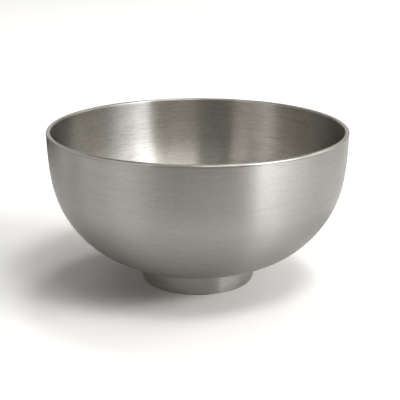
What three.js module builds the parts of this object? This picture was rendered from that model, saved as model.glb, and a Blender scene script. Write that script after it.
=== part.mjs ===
// A double-walled shaving bowl in brushed stainless steel, standing on a short foot ring.
// Millimetres, +Z up. The origin is the centre of the circle that the foot stands on.

import * as THREE from "three";

// Driving dimensions.
const HEIGHT = 63; // floor to the top of the lip
const LIP_RADIUS = 60; // outside of the lip, the widest circle of the bowl
const LIP_WIDTH = 1.8; // across the lip's flat top and its two rounded edges
const LIP_OUTER_EDGE = 0.7; // rounding of the lip's outer edge
const LIP_INNER_EDGE = 0.7; // rounding of its inner edge
const SHEET = 0.7; // thickness of the steel of both shells
const SEAM_STEP = 0.1; // how far the lip stands out over the outer shell
const SEAM_GAP = 0.1; // open seam between the lip and the outer shell's edge
const LIP_SKIRT = 0.15; // short upright below the lip's outer rounding
const WALL_DROP = 1.6; // both walls are upright down to this far below the lip's top

// Each wall's outside is a chain of tangent arcs, from upright at the lip to level at the
// bottom: the arc's radius, the slope in degrees that it ends at, and its facets.
const OUTER_WALL = [
  { radius: 125, slope: 7.7, facets: 3 },
  { radius: 42.5, slope: 63.4, facets: 8 },
  { radius: 53, slope: 90, facets: 4 },
];
const INNER_WALL = [
  { radius: 95, slope: 9.5, facets: 3 },
  { radius: 40, slope: 62, facets: 8 },
  { radius: 49, slope: 90, facets: 4 },
];

const FOOT_TOP_RADIUS = 24.7; // where the foot meets the outer shell
const FOOT_BASE_RADIUS = 22.45; // at the floor
const FOOT_THICKNESS = 1.4;
const FOOT_SIDE_ARC = 50; // the foot's side bulges outwards on this radius
const FOOT_EDGE = 0.35; // rounding of the edge at the floor
const WELD_GAP = 0.1; // between the foot's top and the outer shell

const VENT_RADIUS = 1.6; // hole in the outer shell's bottom
const PLUG_STEM_RADIUS = 1.5;
const PLUG_HEAD = { radius: 3.5, edge: 0.3, dome: 0.5 };
const PLUG_TAIL = { radius: 2.1, thickness: 0.6, bevel: 0.2 };
const PLUG_GAP = 0.05; // between the plug's head or tail and the sheet

const FACETS_ROUND = 64; // facets of every turned piece but the plug
const PLUG_FACETS_ROUND = 24;

// Bare stainless steel, brushed satin.
const satin = (color, roughness) =>
  new THREE.MeshStandardMaterial({ color, roughness, metalness: 1 });
const innerSteel = satin(0xc0bdb6, 0.3);
const outerSteel = satin(0xb9b8b5, 0.35);
const footSteel = satin(0xc0bcb7, 0.36);
const plugSteel = satin(0xb5b4b0, 0.38);

const point = (r, z) => new THREE.Vector2(r, z);

// Points on an arc about a centre, from one angle to another, in degrees above +R.
function arc(centre, radius, from, to, facets) {
  const points = [];
  for (let i = 0; i <= facets; i++) {
    const angle = THREE.MathUtils.degToRad(from + ((to - from) * i) / facets);
    points.push(
      point(
        centre.x + radius * Math.cos(angle),
        centre.y + radius * Math.sin(angle),
      ),
    );
  }
  return points;
}

// A wall's outside from its top down to where it is level, inset by a thickness.
function wallPoints(topRadius, wall, inset) {
  let points = [point(topRadius - inset, HEIGHT - WALL_DROP)];
  let slope = 0;
  let centre = point(topRadius - wall[0].radius, HEIGHT - WALL_DROP);
  wall.forEach(({ radius, slope: end, facets }, i) => {
    points = points.concat(
      arc(centre, radius - inset, -slope, -end, facets).slice(1),
    );
    slope = end;
    if (i + 1 < wall.length) {
      const shift = radius - wall[i + 1].radius;
      const angle = THREE.MathUtils.degToRad(-end);
      centre = centre
        .clone()
        .add(point(shift * Math.cos(angle), shift * Math.sin(angle)));
    }
  });
  return points;
}

// A closed profile, counter-clockwise with R to the right and Z up, turned about Z.
function turned(name, profile, material, facetsRound = FACETS_ROUND) {
  const geometry = new THREE.LatheGeometry(profile, facetsRound);
  geometry.rotateX(Math.PI / 2);
  const mesh = new THREE.Mesh(geometry, material);
  mesh.name = name;
  return mesh;
}

const lipUnderside = HEIGHT - LIP_OUTER_EDGE - LIP_SKIRT;
const outerTopRadius = LIP_RADIUS - SEAM_STEP;
const innerTopRadius = LIP_RADIUS - LIP_WIDTH + SHEET;
const outerOutside = wallPoints(outerTopRadius, OUTER_WALL, 0);
const outerBottom = outerOutside.at(-1).y;

// The inner shell: the bowl itself, and the turned-out lip that caps the outer shell's edge.
function innerShell() {
  const outside = wallPoints(innerTopRadius, INNER_WALL, 0);
  const inside = wallPoints(innerTopRadius, INNER_WALL, SHEET);
  const outerEdge = point(LIP_RADIUS - LIP_OUTER_EDGE, HEIGHT - LIP_OUTER_EDGE);
  const innerEdge = point(LIP_RADIUS - LIP_WIDTH + LIP_INNER_EDGE, HEIGHT - LIP_INNER_EDGE);
  return turned(
    "inner_shell",
    [
      point(0, outside.at(-1).y),
      ...outside.toReversed(),
      point(innerTopRadius, lipUnderside),
      point(LIP_RADIUS, lipUnderside),
      ...arc(outerEdge, LIP_OUTER_EDGE, 0, 90, 4),
      ...arc(innerEdge, LIP_INNER_EDGE, 90, 180, 4),
      ...inside,
      point(0, inside.at(-1).y),
    ],
    innerSteel,
  );
}

// The outer shell: its edge sits under the lip, and its bottom has the vent hole.
function outerShell() {
  const inside = wallPoints(outerTopRadius, OUTER_WALL, SHEET);
  const edge = lipUnderside - SEAM_GAP;
  return turned(
    "outer_shell",
    [
      point(VENT_RADIUS, outerBottom),
      ...outerOutside.toReversed(),
      point(outerTopRadius, edge),
      point(outerTopRadius - SHEET, edge),
      ...inside,
      point(VENT_RADIUS, inside.at(-1).y),
      point(VENT_RADIUS, outerBottom),
    ],
    outerSteel,
  );
}

// The height of the outer shell's underside, less the weld gap, on its lowest arc.
function weldHeight(radius) {
  const lowest = OUTER_WALL.at(-1).radius;
  const flatRadius = outerOutside.at(-1).x;
  const reach = lowest + WELD_GAP;
  return outerBottom + lowest - Math.sqrt(reach ** 2 - (radius - flatRadius) ** 2);
}

// The foot ring: a tapered, slightly bulging wall with a flat face on the floor.
function footRing() {
  const base = point(FOOT_BASE_RADIUS, 0);
  const top = point(FOOT_TOP_RADIUS, weldHeight(FOOT_TOP_RADIUS));
  const chord = top.clone().sub(base);
  const outward = point(chord.y, -chord.x).normalize();
  const sag = Math.sqrt(FOOT_SIDE_ARC ** 2 - (chord.length() / 2) ** 2);
  const centre = base.clone().add(top).divideScalar(2).addScaledVector(outward, -sag);
  const angleOf = (p) => THREE.MathUtils.radToDeg(Math.atan2(p.y - centre.y, p.x - centre.x));
  const side = arc(centre, FOOT_SIDE_ARC, angleOf(base), angleOf(top), 5);
  const inner = arc(centre, FOOT_SIDE_ARC - FOOT_THICKNESS, angleOf(top), angleOf(base), 4);
  inner[0].y = weldHeight(inner[0].x);
  inner.at(-1).y = 0;
  const rounded = arc(point(base.x - FOOT_EDGE, FOOT_EDGE), FOOT_EDGE, -90, 0, 3);
  return turned(
    "foot_ring",
    [...rounded, ...side.slice(1), ...inner, rounded[0].clone()],
    footSteel,
  );
}

// The vent plug: a low domed head under the bottom, a stem, and a tail inside the air gap.
function ventPlug() {
  const headTop = outerBottom - PLUG_GAP;
  const tailBottom = outerBottom + SHEET + PLUG_GAP;
  const tailTop = tailBottom + PLUG_TAIL.thickness;
  const domeArc = (PLUG_HEAD.radius ** 2 + PLUG_HEAD.dome ** 2) / (2 * PLUG_HEAD.dome);
  const domeCentre = point(0, headTop - PLUG_HEAD.edge - PLUG_HEAD.dome + domeArc);
  const domeEnd = THREE.MathUtils.radToDeg(Math.acos(PLUG_HEAD.radius / domeArc));
  return turned(
    "vent_plug",
    [
      ...arc(domeCentre, domeArc, -90, -domeEnd, 5),
      point(PLUG_HEAD.radius, headTop),
      point(PLUG_STEM_RADIUS, headTop),
      point(PLUG_STEM_RADIUS, tailBottom),
      point(PLUG_TAIL.radius, tailBottom),
      point(PLUG_TAIL.radius, tailTop - PLUG_TAIL.bevel),
      point(PLUG_TAIL.radius - PLUG_TAIL.bevel, tailTop),
      point(0, tailTop),
    ],
    plugSteel,
    PLUG_FACETS_ROUND,
  );
}

const group = new THREE.Group();
group.add(innerShell(), outerShell(), footRing(), ventPlug());

export default group;
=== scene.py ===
"""A double-walled shaving bowl in brushed stainless steel, on the pale floor of a small studio."""

import math

import bpy
import numpy as np
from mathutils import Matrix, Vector


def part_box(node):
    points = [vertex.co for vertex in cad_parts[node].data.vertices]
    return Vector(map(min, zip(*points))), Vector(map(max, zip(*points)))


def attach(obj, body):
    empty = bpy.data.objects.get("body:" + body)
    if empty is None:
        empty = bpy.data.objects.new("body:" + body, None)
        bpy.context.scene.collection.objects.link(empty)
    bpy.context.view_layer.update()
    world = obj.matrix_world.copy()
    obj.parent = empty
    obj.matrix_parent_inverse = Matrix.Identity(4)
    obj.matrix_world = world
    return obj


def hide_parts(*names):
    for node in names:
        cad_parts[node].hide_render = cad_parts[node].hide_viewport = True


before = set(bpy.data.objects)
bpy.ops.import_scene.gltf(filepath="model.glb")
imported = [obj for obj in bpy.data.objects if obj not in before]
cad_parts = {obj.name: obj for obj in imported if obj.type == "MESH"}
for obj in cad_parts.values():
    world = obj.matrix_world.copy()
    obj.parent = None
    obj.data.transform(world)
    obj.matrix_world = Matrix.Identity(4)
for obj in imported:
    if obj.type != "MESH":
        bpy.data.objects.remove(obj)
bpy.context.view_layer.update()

# ---------------------------------------------------------------- sizes, in metres

MM = 0.001
LIP_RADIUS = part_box("inner_shell")[1].x
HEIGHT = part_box("inner_shell")[1].z
OUTER_TOP_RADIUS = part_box("outer_shell")[1].x
OUTER_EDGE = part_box("outer_shell")[1].z
OUTER_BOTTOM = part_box("outer_shell")[0].z
FOOT_TOP_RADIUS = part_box("foot_ring")[1].x
PLUG_LOW, PLUG_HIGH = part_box("vent_plug")

SHEET = 0.7 * MM
LIP_WIDTH = 1.8 * MM
LIP_OUTER_EDGE = 0.7 * MM  # rounding of the lip's edges
LIP_INNER_EDGE = 0.7 * MM
LIP_UNDERSIDE = HEIGHT - LIP_OUTER_EDGE - 0.15 * MM
WALL_TOP = HEIGHT - 1.6 * MM
INNER_TOP_RADIUS = LIP_RADIUS - LIP_WIDTH + SHEET

# Each wall's outside as tangent arcs from the lip to the bottom: radius, and the slope in
# degrees that the arc ends at.
OUTER_WALL = ((125 * MM, 7.7), (42.5 * MM, 63.4), (53 * MM, 90))
INNER_WALL = ((95 * MM, 9.5), (40 * MM, 62), (49 * MM, 90))

FOOT_BASE_RADIUS = 22.45 * MM
FOOT_THICKNESS = 1.4 * MM
FOOT_SIDE_ARC = 50 * MM
FOOT_EDGE = 0.35 * MM
WELD_GAP = 0.1 * MM

VENT_RADIUS = 1.6 * MM
PLUG_STEM_RADIUS = 1.5 * MM
PLUG_TAIL_RADIUS = 2.1 * MM
PLUG_GAP = 0.05 * MM
PLUG_DOME = 0.5 * MM

SOFT_EDGE = 0.08 * MM  # sheared and ground edges are broken by this much
SIDES = 320  # steps round the axis
PLUG_SIDES = 96
DEGREES_PER_STEP = 1.1  # along the walls' arcs
EDGE_STEPS = 12  # along each rounded edge of the lip
FOOT_EDGE_STEPS = 8
SIDE_STEPS = 24  # along the foot's side, and the plug's dome

# Ranges of height, each from where an effect starts to where it is full.
LIP_HEIGHTS = (HEIGHT - 1.0 * MM, HEIGHT - 0.7 * MM)  # where handling has rubbed the lip
FOOT_EDGE_HEIGHTS = (0.6 * MM, 0.1 * MM)  # and the foot's edge
PAINTED_SHADE_HEIGHTS = (38 * MM, 15 * MM)  # where shade is painted, darker towards the foot
NOWHERE = (1, 2)

# The finish of the steel. Shares of one pattern add up to 1.
STROKE_SHARE, FINE_SHARE, SPECK_SHARE = 0.25, 0.40, 0.35
DEEP_SHADE = 0.4  # how dark the deep lines are, as a part of the streaks
GRAIN = 0.10  # how much the roughness varies from line to line
CLOUD = 0.08  # how much colour and roughness vary from cloud to cloud
SCRATCH_DEPTH = 0.03 * MM
WAVE_DEPTH = 0.012 * MM
PAINTED_SHADE_AMOUNT = 0.33  # how much darker the painted shade makes the steel towards the foot
RUBBED_CALM = 0.85  # how much of the lines is gone where the steel is rubbed
RUBBED_SHADE = 0.10  # how much lighter it is there
RUBBED_SMOOTH = 0.03  # and how much less rough


# ---------------------------------------------------------------- outlines, as (radius, height) points


def arc(centre, radius, start, end, steps):
    """Points on a circle about centre, from one angle to another, in degrees above the horizontal."""
    angles = np.radians(np.linspace(start, end, steps + 1))
    return [(centre[0] + radius * math.cos(a), centre[1] + radius * math.sin(a)) for a in angles]


def wall_points(top_radius, wall, inset=0.0):
    """A wall from its top down to where it is level, inset by a thickness."""
    points = [(top_radius - inset, WALL_TOP)]
    centre = Vector((top_radius - wall[0][0], WALL_TOP))
    slope = 0.0
    for i, (radius, end) in enumerate(wall):
        steps = math.ceil((end - slope) / DEGREES_PER_STEP)
        points += arc(centre, radius - inset, -slope, -end, steps)[1:]
        slope = end
        if i + 1 < len(wall):
            shift = radius - wall[i + 1][0]
            turn = math.radians(-end)
            centre = centre + shift * Vector((math.cos(turn), math.sin(turn)))
    return points


def rounded(points, corners, radius=SOFT_EDGE, steps=4):
    """The closed outline with the named corners (indexes) rounded."""
    out = []
    for i, p in enumerate(points):
        if i not in corners:
            out.append(p)
            continue
        here = Vector(p)
        before = Vector(points[i - 1]) - here
        after = Vector(points[(i + 1) % len(points)]) - here
        half = before.angle(after) / 2
        reach = min(radius / math.tan(half), 0.45 * before.length, 0.45 * after.length)
        a = here + before.normalized() * reach
        b = here + after.normalized() * reach
        for t in np.linspace(0, 1, steps + 1):
            out.append(tuple((1 - t) ** 2 * a + 2 * t * (1 - t) * here + t**2 * b))
    return out


def turned(name, outline, closed=True, sides=SIDES):
    """A mesh of the outline turned about Z, counter-clockwise outlines facing out.

    Its UV map holds the turn (0 to 1) and the distance along the outline in metres.
    """
    outline = [Vector(p) for p in outline]
    ring = outline + ([outline[0]] if closed else [])
    along = np.concatenate([[0], np.cumsum([(b - a).length for a, b in zip(ring, ring[1:])])])
    on_axis = [abs(p.x) < 1e-9 for p in outline]
    first = []
    verts = []
    for p, axis in zip(outline, on_axis):
        first.append(len(verts))
        for k in range(1 if axis else sides):
            angle = 2 * math.pi * k / sides
            verts.append((p.x * math.cos(angle), p.x * math.sin(angle), p.y))

    def index(i, k):
        i %= len(outline)
        return first[i] if on_axis[i] else first[i] + k % sides

    faces, uvs = [], []
    for i in range(len(ring) - 1):
        j = (i + 1) % len(outline)
        for k in range(sides):
            corners = [(i, k), (i, k + 1), (j, k + 1), (j, k)]
            if on_axis[i]:
                corners.pop(1)
            elif on_axis[j]:
                corners.pop(2)
            faces.append([index(a, b) for a, b in corners])
            uvs += [(b / sides, along[i] if a == i else along[i + 1]) for a, b in corners]
    mesh = bpy.data.meshes.new(name)
    mesh.from_pydata(verts, [], faces)
    layer = mesh.uv_layers.new(name="turning")
    layer.data.foreach_set("uv", np.array(uvs, np.float32).ravel())
    mesh.polygons.foreach_set("use_smooth", [True] * len(mesh.polygons))
    mesh.validate()
    obj = bpy.data.objects.new(name, mesh)
    bpy.context.scene.collection.objects.link(obj)
    obj.modifiers.new("face_weighted_normals", "WEIGHTED_NORMAL")
    return obj


# ---------------------------------------------------------------- materials


class Tree:
    """A node tree that is written as one call for each node."""

    def __init__(self, material):
        material.use_nodes = True
        self.nodes = material.node_tree.nodes
        self.links = material.node_tree.links
        self.nodes.clear()

    def node(self, kind, inputs=None, **settings):
        made = self.nodes.new("ShaderNode" + kind)
        for key, value in settings.items():
            setattr(made, key, value)
        for key, value in (inputs or {}).items():
            if isinstance(value, bpy.types.NodeSocket):
                self.links.new(value, made.inputs[key])
            else:
                made.inputs[key].default_value = value
        return made

    def math(self, operation, a, b=0.0, c=0.0):
        return self.node("Math", {0: a, 1: b, 2: c}, operation=operation).outputs[0]


def brushed_steel(name, colour, roughness, streaks, hairs=50.0, worn=NOWHERE, shade_painted=NOWHERE):
    """Stainless steel, brushed in lines round Z.

    streaks is how much the colour varies from line to line, and hairs how many fine lines follow
    each other in a radian. The steel is rubbed lighter and smoother from the first height in worn
    to the second, and darkened with painted shade over those in shade_painted.
    """
    material = bpy.data.materials.new(name)
    tree = Tree(material)
    place = tree.node("TexCoord").outputs
    xyz = tree.node("SeparateXYZ", {0: place["Object"]}).outputs
    flat = tree.node("CombineXYZ", {0: xyz[0], 1: xyz[1]}).outputs[0]
    round_axis = tree.node("VectorMath", {0: flat}, operation="NORMALIZE").outputs[0]
    turn = tree.node("SeparateXYZ", {0: round_axis}).outputs
    uv = tree.node("UVMap", uv_map="turning").outputs[0]
    along = tree.node("SeparateXYZ", {0: uv}).outputs[1]

    def lines(round_scale, pitch, detail, seed):
        """Noise drawn out round the axis: patches per radian, and the distance between lines."""
        vector = tree.node(
            "CombineXYZ",
            {
                0: tree.math("MULTIPLY", turn[0], round_scale),
                1: tree.math("MULTIPLY", turn[1], round_scale),
                2: tree.math("MULTIPLY_ADD", along, 1 / pitch, seed),
            },
        ).outputs[0]
        inputs = {"Vector": vector, "Scale": 1.0, "Detail": detail, "Roughness": 0.6}
        return tree.node("TexNoise", inputs).outputs[0]

    def clouds(size, detail):
        inputs = {"Vector": place["Object"], "Scale": 1 / size, "Detail": detail}
        return tree.node("TexNoise", inputs).outputs[0]

    def over(heights):
        """0 at the first height to 1 at the second."""
        inputs = {0: xyz[2], 1: heights[0], 2: heights[1], 3: 0.0, 4: 1.0}
        return tree.node("MapRange", inputs).outputs[0]

    fine = lines(hairs, 0.33 * MM, 2.0, 3.0)
    strokes = lines(4.0, 0.8 * MM, 3.0, 11.0)
    deep = lines(3.0, 0.8 * MM, 1.0, 29.0)
    deep = tree.node("MapRange", {0: deep, 1: 0.60, 2: 0.72, 3: 0.0, 4: 1.0}).outputs[0]
    specks = clouds(0.4 * MM, 1.0)
    dull = clouds(16 * MM, 3.0)
    waves = clouds(5 * MM, 2.0)
    rubbed, painted_dark = over(worn), over(shade_painted)

    lined = tree.math("MULTIPLY", fine, FINE_SHARE)
    lined = tree.math("MULTIPLY_ADD", strokes, STROKE_SHARE, lined)
    lined = tree.math("MULTIPLY_ADD", specks, SPECK_SHARE, lined)
    calm = tree.math("MULTIPLY_ADD", rubbed, -RUBBED_CALM, 1.0)
    lined = tree.math("MULTIPLY_ADD", tree.math("SUBTRACT", lined, 0.5), calm, 0.5)
    shade = tree.math("MULTIPLY_ADD", lined, streaks * 4, 1 - streaks * 2)
    shade = tree.math("MULTIPLY_ADD", tree.math("MULTIPLY", deep, calm), -streaks * DEEP_SHADE, shade)
    shade = tree.math("MULTIPLY_ADD", rubbed, RUBBED_SHADE, shade)
    # painted shade: the colour is darker towards the foot
    shade = tree.math("MULTIPLY_ADD", painted_dark, -PAINTED_SHADE_AMOUNT, shade)
    shade = tree.math("MULTIPLY_ADD", tree.math("SUBTRACT", dull, 0.5), CLOUD, shade)
    tint = tree.node("VectorMath", {0: colour, "Scale": shade}, operation="SCALE").outputs[0]
    rough = tree.math("MULTIPLY_ADD", lined, GRAIN, roughness - GRAIN / 2)
    rough = tree.math("MULTIPLY_ADD", tree.math("SUBTRACT", dull, 0.5), CLOUD, rough)
    rough = tree.math("MULTIPLY_ADD", rubbed, -RUBBED_SMOOTH, rough)

    scratches = tree.node(
        "Bump", {"Strength": 1.0, "Distance": SCRATCH_DEPTH, "Height": lined}
    ).outputs[0]
    normal = tree.node(
        "Bump",
        {"Strength": calm, "Distance": WAVE_DEPTH, "Height": waves, "Normal": scratches},
    ).outputs[0]
    tangent = tree.node("Tangent", direction_type="RADIAL", axis="Z").outputs[0]
    shader = tree.node(
        "BsdfPrincipled",
        {
            "Base Color": tint,
            "Metallic": 1.0,
            "Roughness": rough,
            "Anisotropic": 1.0,
            "Anisotropic Rotation": 0.25,
            "Normal": normal,
            "Tangent": tangent,
        },
    )
    tree.node("OutputMaterial", {"Surface": shader.outputs[0]})
    return material


def matte(name, colour, roughness):
    material = bpy.data.materials.new(name)
    tree = Tree(material)
    shader = tree.node("BsdfPrincipled", {"Base Color": (*colour, 1), "Roughness": roughness})
    tree.node("OutputMaterial", {"Surface": shader.outputs[0]})
    return material


# ---------------------------------------------------------------- the bowl's pieces


inner_set = bpy.data.collections.new("inner_set")
outer_set = bpy.data.collections.new("outer_set")
floor_set = bpy.data.collections.new("floor_set")


def place(piece, node, slot, material):
    piece.data.materials.append(material)
    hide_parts(node)
    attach(piece, "root")
    lit = inner_set if node == "inner_shell" else outer_set
    lit.objects.link(piece)


def inner_bowl():
    """The inner shell: the bowl itself, with the turned-out lip that caps the outer shell's edge."""
    outside = wall_points(INNER_TOP_RADIUS, INNER_WALL)
    inside = wall_points(INNER_TOP_RADIUS, INNER_WALL, SHEET)
    outer_edge = (LIP_RADIUS - LIP_OUTER_EDGE, HEIGHT - LIP_OUTER_EDGE)
    inner_edge = (LIP_RADIUS - LIP_WIDTH + LIP_INNER_EDGE, HEIGHT - LIP_INNER_EDGE)
    head = [(0, outside[-1][1]), *reversed(outside), (INNER_TOP_RADIUS, LIP_UNDERSIDE)]
    outline = [
        *head,
        (LIP_RADIUS, LIP_UNDERSIDE),
        *arc(outer_edge, LIP_OUTER_EDGE, 0, 90, EDGE_STEPS),
        *arc(inner_edge, LIP_INNER_EDGE, 90, 180, EDGE_STEPS),
        *inside,
        (0, inside[-1][1]),
    ]
    return turned("inner_bowl", rounded(outline, {len(head)}), closed=False)


def outer_bowl():
    """The outer shell, with its edge under the lip and the vent hole in its bottom."""
    outside = wall_points(OUTER_TOP_RADIUS, OUTER_WALL)
    inside = wall_points(OUTER_TOP_RADIUS, OUTER_WALL, SHEET)
    head = [(VENT_RADIUS, OUTER_BOTTOM), *reversed(outside)]
    outline = [
        *head,
        (OUTER_TOP_RADIUS, OUTER_EDGE),
        (OUTER_TOP_RADIUS - SHEET, OUTER_EDGE),
        *inside,
        (VENT_RADIUS, inside[-1][1]),
    ]
    corners = {0, len(head), len(head) + 1, len(outline) - 1}
    return turned("outer_bowl", rounded(outline, corners))


def weld_height(radius):
    """The height of the outer shell's underside at a radius on its lowest arc, less the weld gap."""
    lowest = OUTER_WALL[-1][0]
    level_radius = wall_points(OUTER_TOP_RADIUS, OUTER_WALL)[-1][0]
    reach = lowest + WELD_GAP
    return OUTER_BOTTOM + lowest - math.sqrt(reach**2 - (radius - level_radius) ** 2)


def foot():
    """The foot ring: a tapered, slightly bulging wall with a flat face on the floor."""
    base = Vector((FOOT_BASE_RADIUS, 0))
    top = Vector((FOOT_TOP_RADIUS, weld_height(FOOT_TOP_RADIUS)))
    chord = top - base
    outward = Vector((chord.y, -chord.x)).normalized()
    sag = math.sqrt(FOOT_SIDE_ARC**2 - (chord.length / 2) ** 2)
    centre = (base + top) / 2 - outward * sag

    def angle(p):
        return math.degrees(math.atan2(p.y - centre.y, p.x - centre.x))

    side = arc(centre, FOOT_SIDE_ARC, angle(base), angle(top), SIDE_STEPS)
    inner_arc = FOOT_SIDE_ARC - FOOT_THICKNESS
    inner = arc(centre, inner_arc, angle(top), angle(base), SIDE_STEPS)
    inner[0] = (inner[0][0], weld_height(inner[0][0]))
    inner[-1] = (inner[-1][0], 0)
    edge = arc((base.x - FOOT_EDGE, FOOT_EDGE), FOOT_EDGE, -90, 0, FOOT_EDGE_STEPS)
    outline = [*edge, *side[1:], *inner]
    last = len(outline) - 1
    corners = {len(edge) + len(side) - 2, len(edge) + len(side) - 1, last}
    return turned("foot", rounded(outline, corners))


def plug():
    """The vent plug: a low domed head in the foot's recess, a stem, and a tail in the air gap."""
    head_radius = PLUG_HIGH.x
    head_top = OUTER_BOTTOM - PLUG_GAP
    tail_bottom = OUTER_BOTTOM + SHEET + PLUG_GAP
    dome_arc = (head_radius**2 + PLUG_DOME**2) / (2 * PLUG_DOME)
    dome_end = math.degrees(math.acos(head_radius / dome_arc))
    dome_centre = (0, PLUG_LOW.z + dome_arc)
    dome = arc(dome_centre, dome_arc, -90, -dome_end, SIDE_STEPS)
    outline = [
        *dome,
        (head_radius, head_top),
        (PLUG_STEM_RADIUS, head_top),
        (PLUG_STEM_RADIUS, tail_bottom),
        (PLUG_TAIL_RADIUS, tail_bottom),
        (PLUG_TAIL_RADIUS, PLUG_HIGH.z),
        (0, PLUG_HIGH.z),
    ]
    corners = {len(dome) - 1, len(dome), len(dome) + 3, len(dome) + 4}
    return turned("plug", rounded(outline, corners), closed=False, sides=PLUG_SIDES)


inner_steel = brushed_steel(
    "brushed_inner_steel", (0.525, 0.507, 0.468), 0.33, streaks=0.30, hairs=18.0, worn=LIP_HEIGHTS
)
# the outer shell gets painted shade, darker towards the foot
outer_steel = brushed_steel(
    "brushed_outer_steel", (0.478, 0.471, 0.451), 0.35, streaks=0.16, shade_painted=PAINTED_SHADE_HEIGHTS
)
foot_steel = brushed_steel(
    "brushed_foot_steel", (0.525, 0.505, 0.475), 0.36, streaks=0.18, worn=FOOT_EDGE_HEIGHTS
)
plug_steel = brushed_steel("plain_plug_steel", (0.46, 0.453, 0.436), 0.38, streaks=0.10)

place(inner_bowl(), "inner_shell", "inner_steel", inner_steel)
place(outer_bowl(), "outer_shell", "outer_steel", outer_steel)
place(foot(), "foot_ring", "foot_steel", foot_steel)
place(plug(), "vent_plug", "plug_steel", plug_steel)


# ---------------------------------------------------------------- studio

BOWL_CENTRE = Vector((0, 0, HEIGHT / 2))
STUDIO_RADIUS = 3.0
FLOOR_SIZE = 8.0
CARD_LIFT = 0.5 * MM  # how far the cards lie over the floor
ROOM_LIGHT = (0.385, 0.38, 0.37)
DAYLIGHT = (0.97, 1.0, 1.06)
PRINT_CONTRAST = 0.75  # the picture's gamma


def direction(azimuth, elevation):
    """Unit vector from the bowl: azimuth 0 is towards the camera, 90 to its right."""
    a, e = math.radians(azimuth), math.radians(elevation)
    return Vector((math.sin(a) * math.cos(e), -math.cos(a) * math.cos(e), math.sin(e)))


def softbox(name, azimuths, elevations, radiance, lit, colour=(1, 1, 1)):
    """A flat lit panel on the studio's walls, filling a range of directions seen from the bowl.

    lit is the collection of what it shines on.
    """
    azimuth, elevation = sum(azimuths) / 2, sum(elevations) / 2
    towards = direction(azimuth, elevation)
    half_width = math.radians(azimuths[1] - azimuths[0]) / 2
    half_height = math.radians(elevations[1] - elevations[0]) / 2
    data = bpy.data.lights.new(name, "AREA")
    data.shape = "RECTANGLE"
    data.size = 2 * STUDIO_RADIUS * math.cos(math.radians(elevation)) * math.tan(half_width)
    data.size_y = 2 * STUDIO_RADIUS * math.tan(half_height)
    data.energy = math.pi * data.size * data.size_y * radiance
    data.color = colour
    lamp = bpy.data.objects.new(name, data)
    lamp.location = BOWL_CENTRE + towards * STUDIO_RADIUS
    lamp.rotation_mode = "QUATERNION"
    lamp.rotation_quaternion = towards.to_track_quat("Z", "Y")
    lamp.visible_camera = False
    lamp.light_linking.receiver_collection = lit
    bpy.context.scene.collection.objects.link(lamp)


def floor():
    mesh = bpy.data.meshes.new("floor")
    h = FLOOR_SIZE / 2
    mesh.from_pydata([(-h, -h, 0), (h, -h, 0), (h, h, 0), (-h, h, 0)], [], [(0, 1, 2, 3)])
    mesh.materials.append(matte("pale_floor", (0.97, 0.965, 0.95), 0.6))
    made = bpy.data.objects.new("floor", mesh)
    bpy.context.scene.collection.objects.link(made)
    floor_set.objects.link(made)


def black_card(name, azimuth, near, width, length):
    """A card on the floor, from near to beyond, which only the steel's reflections see."""
    mesh = bpy.data.meshes.new(name)
    x, far, z = width / 2, near + length, CARD_LIFT
    mesh.from_pydata([(-x, -near, z), (-x, -far, z), (x, -far, z), (x, -near, z)], [], [(0, 1, 2, 3)])
    mesh.materials.append(card_black)
    made = bpy.data.objects.new(name, mesh)
    made.rotation_euler.z = math.radians(azimuth)
    made.visible_camera = made.visible_diffuse = made.visible_shadow = False
    bpy.context.scene.collection.objects.link(made)


def camera(elevation, distance, aim_height, lens, shift):
    data = bpy.data.cameras.new("camera")
    data.lens = lens
    data.shift_x = shift
    data.clip_start, data.clip_end = 0.01, 20
    made = bpy.data.objects.new("camera", data)
    back = direction(0, elevation)
    made.location = Vector((0, 0, aim_height)) + back * distance
    made.rotation_mode = "QUATERNION"
    made.rotation_quaternion = back.to_track_quat("Z", "Y")
    bpy.context.scene.collection.objects.link(made)
    bpy.context.scene.camera = made


LOW, MID, HIGH, TOP = (0, 18), (18, 40), (40, 57), (57, 75)  # bands of elevation, in degrees

# The panels below fill parts of a grid of directions. A least-squares solver outside this
# script found which parts are lit and how brightly. Its numbers were rounded, and about ten of
# them were then changed.

# A tall window at the right, dimmer towards its far side: where each strip starts, and how
# bright it is inside the bowl, low down and at mid height, and outside it, low down.
WINDOW_STRIP = 6
WINDOW = {
    42: (3.8, 4.4, 4.2),
    48: (3.8, 4.4, 4.2),
    54: (2.1, 5.8, 3.5),
    60: (1.6, 4.5, 2.8),
    66: (1.3, 3.5, 2.1),
    72: (0.3, 3.4, 1.5),
    78: (0.2, 2.7, 1.1),
    84: (0.2, 2.1, 0.8),
}
INSIDE_PANELS = {
    "window_edge": ((36, 42), MID, 0.95),
    "right_wall_low": ((90, 120), LOW, 0.3),
    "right_wall": ((90, 120), MID, 1.75),
    "right_back": ((120, 150), MID, 0.9),
    "key_left": ((0, 30), HIGH, 4.3),
    "key_right": ((30, 60), HIGH, 4.1),
    "key_top": ((30, 60), TOP, 1.0),
    "back_low": ((150, 210), (8, 25), 0.4),
    "back_top": ((150, 210), TOP, 1.7),
    "left_front_low": ((-70, -31), LOW, 0.5),
    "left_front": ((-48, -31), MID, 1.4),
    "left_front_far": ((-70, -48), MID, 0.85),
    "left_high": ((-30, 0), HIGH, 1.1),
    "left_wall": ((-95, -70), MID, 0.55),
    "left_back_near": ((240, 270), MID, 0.45),
    "left_back_far": ((210, 240), MID, 0.45),
}
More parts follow.
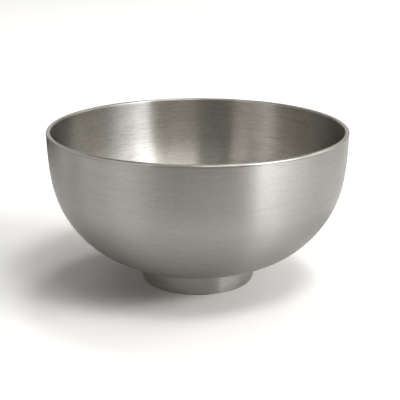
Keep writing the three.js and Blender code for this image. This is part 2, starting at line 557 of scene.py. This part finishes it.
OUTSIDE_PANELS = {
    "outside_window_mid": ((42, 54), MID, 0.4),
    "outside_edge_low": ((36, 42), LOW, 0.7),
    "outside_edge": ((36, 42), MID, 1.9),
    "outside_right_low": ((90, 120), LOW, 0.2),
    "outside_right": ((90, 120), MID, 0.2),
    "outside_front": ((-31, 0), MID, 1.6),
    "outside_key_left": ((0, 30), HIGH, 2.0),
    "outside_key_right": ((60, 90), HIGH, 4.7),
    "outside_top_left": ((0, 30), TOP, 6.4),
    "outside_top": ((30, 60), TOP, 4.8),
    "outside_top_right": ((60, 90), TOP, 14.0),
    "outside_left_front_low": ((-70, -31), LOW, 0.8),
    "outside_left_front": ((-70, -31), MID, 1.0),
    "outside_left_wall": ((-95, -70), LOW, 0.7),
}
FLOOR_PANELS = {
    "floor_key": ((30, 60), (60, 75), 10.7),
    "floor_front_top": ((0, 30), (60, 75), 4.5),
    "floor_front_right": ((30, 60), (32, 46), 3.0),
    "floor_front_low": ((30, 60), (20, 32), 0.4),
    "floor_right_low": ((60, 90), (20, 32), 20.5),
    "floor_right_top": ((60, 90), (60, 75), 2.4),
    "floor_right_mid": ((90, 120), (32, 46), 3.5),
    "floor_right_back": ((90, 150), (60, 75), 1.4),
    "floor_back_top": ((150, 180), (60, 75), 10.5),
    "floor_backdrop": ((150, 210), (20, 32), 0.9),
}

for start, (inside_low, inside_mid, outside_low) in WINDOW.items():
    strip = (start, start + WINDOW_STRIP)
    softbox(f"window_{start}_low", strip, LOW, inside_low, inner_set, DAYLIGHT)
    softbox(f"window_{start}_mid", strip, MID, inside_mid, inner_set, DAYLIGHT)
    softbox(f"outside_window_{start}", strip, LOW, outside_low, outer_set, DAYLIGHT)
for panels, lit in (
    (INSIDE_PANELS, inner_set),
    (OUTSIDE_PANELS, outer_set),
    (FLOOR_PANELS, floor_set),
):
    for name, (azimuths, elevations, radiance) in panels.items():
        softbox(name, azimuths, elevations, radiance, lit)
floor()
card_black = matte("card_black", (0.02, 0.02, 0.02), 0.8)
black_card("front_card", azimuth=0, near=0.15, width=0.30, length=0.45)
black_card("back_card", azimuth=-140, near=0.24, width=0.30, length=0.40)
black_card("right_card", azimuth=90, near=0.076, width=0.13, length=0.008)
camera(elevation=16.9, distance=0.4064, aim_height=0.0325, lens=89.7, shift=0.0057)

world = bpy.data.worlds.new("studio")
bpy.context.scene.world = world
world.use_nodes = True
world.node_tree.nodes["Background"].inputs[0].default_value = (*ROOM_LIGHT, 1)
view = bpy.context.scene.view_settings
view.view_transform = "Standard"
view.gamma = PRINT_CONTRAST
